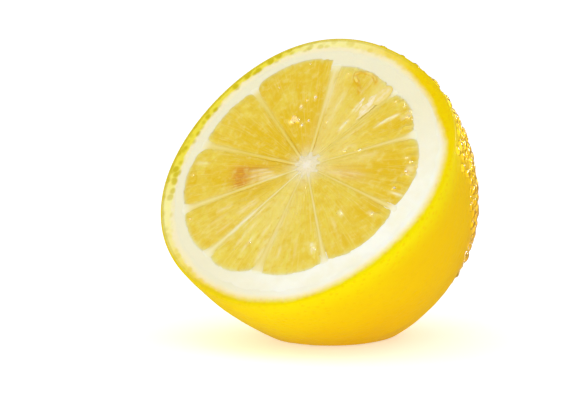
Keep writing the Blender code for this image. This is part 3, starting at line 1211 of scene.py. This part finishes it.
def domes(
    name, point, normal, along, size, random, around=12, rows=4, tall=0.45, stretch=1.0, sunk=-0.22
):
    # Flattened, slightly lopsided domes, each resting a little inside the surface below it
    other = np.cross(normal, along)
    angle = np.linspace(0.0, 2.0 * math.pi, around, endpoint=False)
    climb = np.linspace(sunk, 0.5, rows + 1)[:-1] * math.pi
    count = len(point)
    wobble = 1.0 + 0.10 * np.cos(2.0 * angle[None, :] + random.uniform(0, 6.28, (count, 1)))
    wobble += 0.06 * np.cos(3.0 * angle[None, :] + random.uniform(0, 6.28, (count, 1)))
    tall = tall * random.uniform(0.75, 1.1, (count, 1, 1))
    flat = np.cos(climb)[None, :, None] * wobble[:, None, :] * size[:, None, None]
    rise = np.sin(climb)[None, :, None] * size[:, None, None] * tall
    forward = np.cos(angle)[:, None] * along[:, None, None, :] * stretch
    sideways = np.sin(angle)[:, None] * other[:, None, None, :]
    ring = point[:, None, None, :] + flat[..., None] * (forward + sideways)
    ring = ring + rise[..., None] * normal[:, None, None, :]
    bottom = ring[:, 0].mean(1)
    crown = point + normal * (size * tall[:, 0, 0])[:, None]
    each = rows * around
    points = np.concatenate([ring.reshape(count, each, 3), bottom[:, None], crown[:, None]], axis=1)
    index = np.arange(each).reshape(rows, around)
    beside = np.roll(index, -1, axis=1)
    quads = np.stack([index[:-1], beside[:-1], beside[1:], index[1:]], -1).reshape(-1, 4)
    low = np.stack([beside[0], index[0], np.full(around, each)], -1)
    high = np.stack([index[-1], beside[-1], np.full(around, each + 1)], -1)
    shift = (np.arange(count) * (each + 2))[:, None, None]
    quads = (quads[None] + shift).reshape(-1, 4)
    triangles = (np.vstack([low, high])[None] + shift).reshape(-1, 3)
    mesh = bpy.data.meshes.new(name)
    mesh.from_pydata(points.reshape(-1, 3).tolist(), [], quads.tolist() + triangles.tolist())
    mesh.update()
    mesh.shade_smooth()
    piece = bpy.data.objects.new(name, mesh)
    bpy.context.scene.collection.objects.link(piece)
    return piece


def waterMaterial(name, rim, clear):
    # Clear, tinted where seen edge on, and letting daylight through to what it lies on; on the water
    # beads the edge tint is a painted dark reflection
    material, tree, shader = newMaterial(
        name, (1.0, 1.0, 1.0), 0.02, **{"Transmission Weight": clear, "IOR": 1.33},
    )
    edge = addNode(tree, "ShaderNodeLayerWeight")
    edge.inputs["Blend"].default_value = 0.35
    tint = mixColour(tree, mapTo(tree, edge.outputs["Facing"], 0.16, 0.62), (1.0, 1.0, 1.0), rim)
    tree.links.new(tint, shader.inputs["Base Color"])
    path = addNode(tree, "ShaderNodeLightPath")
    passing = addNode(tree, "ShaderNodeBsdfTransparent")
    mix = addNode(tree, "ShaderNodeMixShader")
    tree.links.new(path.outputs["Is Shadow Ray"], mix.inputs[0])
    tree.links.new(shader.outputs[0], mix.inputs[1])
    tree.links.new(passing.outputs[0], mix.inputs[2])
    tree.links.new(mix.outputs[0], tree.nodes["Material Output"].inputs["Surface"])
    return material


# Painted reflection: dark brown edges where the beads are seen edge on, standing for dark surroundings
# mirrored in them
waterClear = waterMaterial("waterClear", (0.20, 0.10, 0.02), 1.0)
juiceClear = waterMaterial("juiceClear", (1.0, 0.90, 0.58), 0.8)

# Drops of juice on the cut: angle in degrees, distance in radii, radius in millimetres
juiceDrops = [
    (122.5, 0.400, 0.75), (126.0, 0.392, 0.45), (119.0, 0.378, 0.40), (115.0, 0.478, 0.34),
    (110.0, 0.512, 0.28), (103.5, 0.523, 0.26), (116.0, 0.330, 0.26), (108.0, 0.350, 0.22),
    (126.5, 0.705, 0.26), (108.5, 0.800, 0.22), (319.5, 0.498, 0.36), (317.0, 0.480, 0.22),
    (332.6, 0.668, 0.30), (295.4, 0.648, 0.28), (350.4, 0.690, 0.26), (358.5, 0.740, 0.40),
    (3.5, 0.758, 0.34), (6.0, 0.735, 0.30), (8.5, 0.700, 0.28), (0.8, 0.720, 0.26),
    (33.0, 0.720, 0.34), (36.5, 0.738, 0.26), (41.0, 0.725, 0.24), (47.0, 0.690, 0.26),
    (62.5, 0.370, 0.26), (27.0, 0.270, 0.24), (22.0, 0.370, 0.26), (84.0, 0.330, 0.26),
    (189.0, 0.815, 0.24), (212.5, 0.830, 0.24), (246.0, 0.700, 0.22), (252.0, 0.610, 0.24),
]


def onCutDomes(name, table, random, **shape):
    table = np.array(table)
    angle, reach, size = np.radians(table[:, 0]), table[:, 1] * fruit["radius"], table[:, 2] * millimetre
    level = np.full(len(angle), shape.pop("level"))
    point = fromCore(angle, reach, level)
    outward = fromCore(angle, reach + 0.001, level) - point
    outward /= np.linalg.norm(outward, axis=-1, keepdims=True)
    normal = np.broadcast_to(outOfCut, point.shape)
    return domes(name, point, normal, outward, size, random, **shape)


random = np.random.default_rng(4)
drops = onCutDomes(
    "juice_drops", juiceDrops, random, level=0.00016, around=16, rows=5, tall=0.55, stretch=1.2
)
fitOut(drops, juiceClear)


beads = {
    "seed": 12,
    "tries": 16000,
    "kept": 1000,
    "smallest": 0.00028,
    "largest": 0.00115,
    "mostlySmall": 2.4,  # above 1 there are more small beads than large ones
    "facing": (152.0, 12.0),  # the way the wet patch looks, azimuth and elevation in degrees
    "spread": 54.0,
    "straggle": 24.0,  # how much further they thin out on the far side
}


def rindPointAndNormal(angle, turn):
    # The rind's surface and its outward normal, from small steps of both parameters
    def at(a, t):
        radius, depth = bodyProfile(t)
        return rindForm(a, radius, depth)

    step = 1e-3
    along = at(angle, turn + step) - at(angle, turn - step)
    around = at(angle + step, turn) - at(angle - step, turn)
    normal = np.cross(around, along)
    normal /= np.linalg.norm(normal, axis=-1, keepdims=True)
    point = at(angle, turn)
    axisPoint = cutCentre - outOfCut * fruit["halfLength"] * 0.4
    flip = np.sign(((point - axisPoint) * normal).sum(-1, keepdims=True))
    return point, normal * flip


def makeBeads():
    # Throws darts over the rind and keeps those in the wet patch that touch no earlier bead
    random = np.random.default_rng(beads["seed"])
    angle = random.uniform(0.0, 2.0 * math.pi, beads["tries"])
    turn = np.arcsin(random.uniform(0.03, 0.96, beads["tries"]))
    size = random.random(beads["tries"]) ** beads["mostlySmall"]
    size = beads["smallest"] + (beads["largest"] - beads["smallest"]) * size
    size = np.sort(size)[::-1]
    point, normal = rindPointAndNormal(angle, turn)
    apart = np.degrees(np.arccos(np.clip(normal @ wayOf(*beads["facing"]), -1.0, 1.0)))
    behind = unit(-(normal @ acrossCut) + 0.60)
    limit = beads["spread"] * random.uniform(0.86, 1.0, beads["tries"])
    limit += beads["straggle"] * behind * random.uniform(-1.0, 1.0, beads["tries"])
    wanted = (apart < limit) & (point[:, 2] > size * 0.8)
    kept = []
    for index in np.flatnonzero(wanted):
        gaps = np.linalg.norm(point[kept] - point[index], axis=-1) if kept else np.array([1.0])
        room = size[kept] + size[index] if kept else np.array([0.0])
        if (gaps > room * 0.98).all():
            kept.append(index)
        if len(kept) == beads["kept"]:
            break
    point, normal, size = point[kept], normal[kept], size[kept]
    helper = np.where(np.abs(normal[:, 2:]) < 0.9, [[0.0, 0.0, 1.0]], [[1.0, 0.0, 0.0]])
    along = np.cross(normal, helper)
    along /= np.linalg.norm(along, axis=-1, keepdims=True)
    return domes("water_beads", point, normal, along, size, random, tall=0.52)


beadPiece = makeBeads()
fitOut(beadPiece, waterClear)
print("drops and beads made:", len(beadPiece.data.polygons), "faces")


# Floor, light and camera

studio = {
    "azimuth": 32.27,
    "elevation": 6.0,
    "distance": 0.50,
    "lens": 163.4,
    "aimAcross": -0.0021,
    "aimUp": -0.0074,
    "floorSize": 12.0,
    "floorDrop": 0.0001,
    "floorGlow": 0.38,
    "worldStrength": 0.80,
    "mirrored": 0.18,
    "backdrop": 1.03,
}

# Name, where it shines from, distance, size, power, and whether it lights surfaces or only puts
# glints on wet things
softboxes = [
    ("topBox", (10.0, 65.0), 0.60, 0.40, 0.35, True),
    ("frontBox", (5.0, 15.0), 0.70, 0.35, 0.40, True),
    ("backBox", (170.0, 25.0), 0.60, 0.25, 0.30, True),
    ("highGlint", (100.0, 50.0), 0.50, 0.09, 1.5, False),
    ("lowGlint", (92.0, 12.0), 0.50, 0.07, 1.0, False),
    ("backGlint", (150.0, 20.0), 0.50, 0.20, 1.6, False),
    ("frontGlint", (25.0, 64.0), 0.50, 0.07, 0.4, False),
]


def aim(thing, target):
    thing.rotation_euler = (target - thing.location).to_track_quat("-Z", "Y").to_euler()


def makeFloor():
    half = studio["floorSize"] / 2.0
    corners = [(-half, -half), (half, -half), (half, half), (-half, half)]
    mesh = bpy.data.meshes.new("floor")
    mesh.from_pydata([(x, y, -studio["floorDrop"]) for x, y in corners], [], [(0, 1, 2, 3)])
    floor = bpy.data.objects.new("floor", mesh)
    bpy.context.scene.collection.objects.link(floor)
    material = newMaterial(
        "floorPale", (0.90, 0.90, 0.90), 0.6,
        **{"Specular IOR Level": 0.0, "Emission Color": (1.0, 1.0, 1.0, 1.0),
           "Emission Strength": studio["floorGlow"]},
    )[0]
    mesh.materials.append(material)
    floor.visible_glossy = False


def makeLights():
    middle = Vector((0.0, 0.0, 0.028))
    for name, way, distance, size, power, lightsSurfaces in softboxes:
        light = bpy.data.lights.new(name, "AREA")
        light.size = size
        light.energy = power
        holder = bpy.data.objects.new(name, light)
        holder.location = middle + Vector(wayOf(*way)) * distance
        aim(holder, middle)
        holder.visible_camera = False
        holder.visible_diffuse = lightsSurfaces
        holder.visible_transmission = lightsSurfaces
        bpy.context.scene.collection.objects.link(holder)
    world = bpy.data.worlds.new("studioWhite")
    world.use_nodes = True
    bpy.context.scene.world = world
    tree = world.node_tree
    # Rind and juice mirror a darker room than the one that lights them
    rooms = [tree.nodes["Background"]] + [addNode(tree, "ShaderNodeBackground") for _ in range(2)]
    for room, strength in zip(rooms, ("worldStrength", "backdrop", "mirrored")):
        setInputs(room, Color=(1.0, 1.0, 1.0, 1.0), Strength=studio[strength])
    soft, seen, mirrored = rooms
    path = addNode(tree, "ShaderNodeLightPath")
    bySheen = addNode(tree, "ShaderNodeMixShader")
    byEye = addNode(tree, "ShaderNodeMixShader")
    clear = reckon(tree, "MAXIMUM", path.outputs["Is Camera Ray"], path.outputs["Is Transmission Ray"])
    tree.links.new(path.outputs["Is Glossy Ray"], bySheen.inputs[0])
    tree.links.new(soft.outputs[0], bySheen.inputs[1])
    tree.links.new(mirrored.outputs[0], bySheen.inputs[2])
    tree.links.new(clear, byEye.inputs[0])
    tree.links.new(bySheen.outputs[0], byEye.inputs[1])
    tree.links.new(seen.outputs[0], byEye.inputs[2])
    tree.links.new(byEye.outputs[0], tree.nodes["World Output"].inputs["Surface"])


def makeCamera():
    camera = bpy.data.cameras.new("camera")
    camera.lens = studio["lens"]
    camera.sensor_width = 36.0
    camera.clip_start = 0.01
    holder = bpy.data.objects.new("camera", camera)
    away = Vector(wayOf(studio["azimuth"], studio["elevation"]))
    right = Vector((0.0, 0.0, 1.0)).cross(away).normalized()
    up = away.cross(right)
    holder.location = Vector(cutCentre) + away * studio["distance"]
    aim(holder, Vector(cutCentre) + right * studio["aimAcross"] + up * studio["aimUp"])
    bpy.context.scene.collection.objects.link(holder)
    bpy.context.scene.camera = holder


makeFloor()
makeLights()
makeCamera()
bpy.context.scene.view_settings.view_transform = "Standard"
print("studio made")
